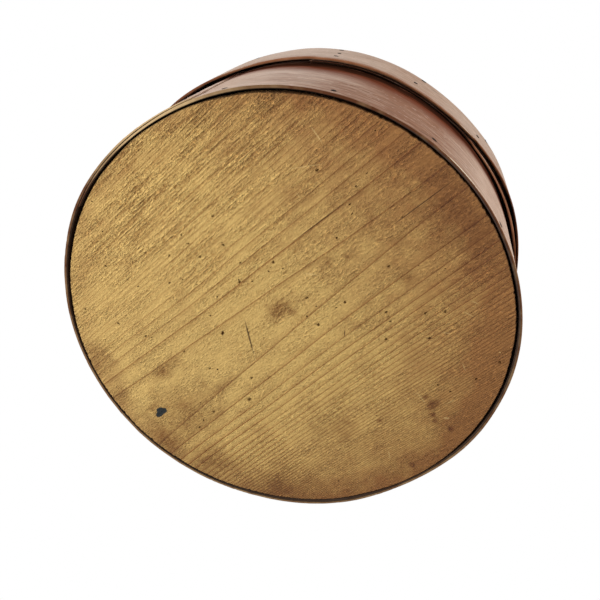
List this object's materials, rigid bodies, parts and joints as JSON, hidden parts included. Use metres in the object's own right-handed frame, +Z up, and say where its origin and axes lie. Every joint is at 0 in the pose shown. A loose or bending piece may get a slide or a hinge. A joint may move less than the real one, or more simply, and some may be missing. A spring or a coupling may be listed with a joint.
{
  "type": "round bentwood pantry box",
  "caption": "Round bentwood storage box with a lapped and tacked side, a nailed-in pine bottom and a deep lift-off lid of the same make.",
  "frame": {"origin": "centre of the box's base, on the underside of the bottom board", "axes": "+Z up along the box's axis, from the bottom board to the lid; -Y towards the side seen in the picture"},
  "size_m": [0.2616, 0.263, 0.125],
  "materials": {
    "pine_board": "bare aged pine",
    "bent_side": "worn oiled hardwood strip",
    "lid_board": "worn oiled pine",
    "bent_lid": "worn oiled hardwood strip",
    "iron": "dark rusted iron"
  },
  "bodies": {
    "box": {"bottom_board": "pine_board", "side_band": "bent_side", "side_lap_tacks": "iron", "bottom_nails": "iron"},
    "lid": {"lid_board": "lid_board", "lid_band": "bent_lid", "lid_lap_tacks": "iron", "lid_nails": "iron"}
  },
  "joints": [
    {"name": "lid_lift", "type": "slide", "parent": "box", "child": "lid", "axis": [0, 0, 1], "range_m": [0, 0.12]}
  ]
}
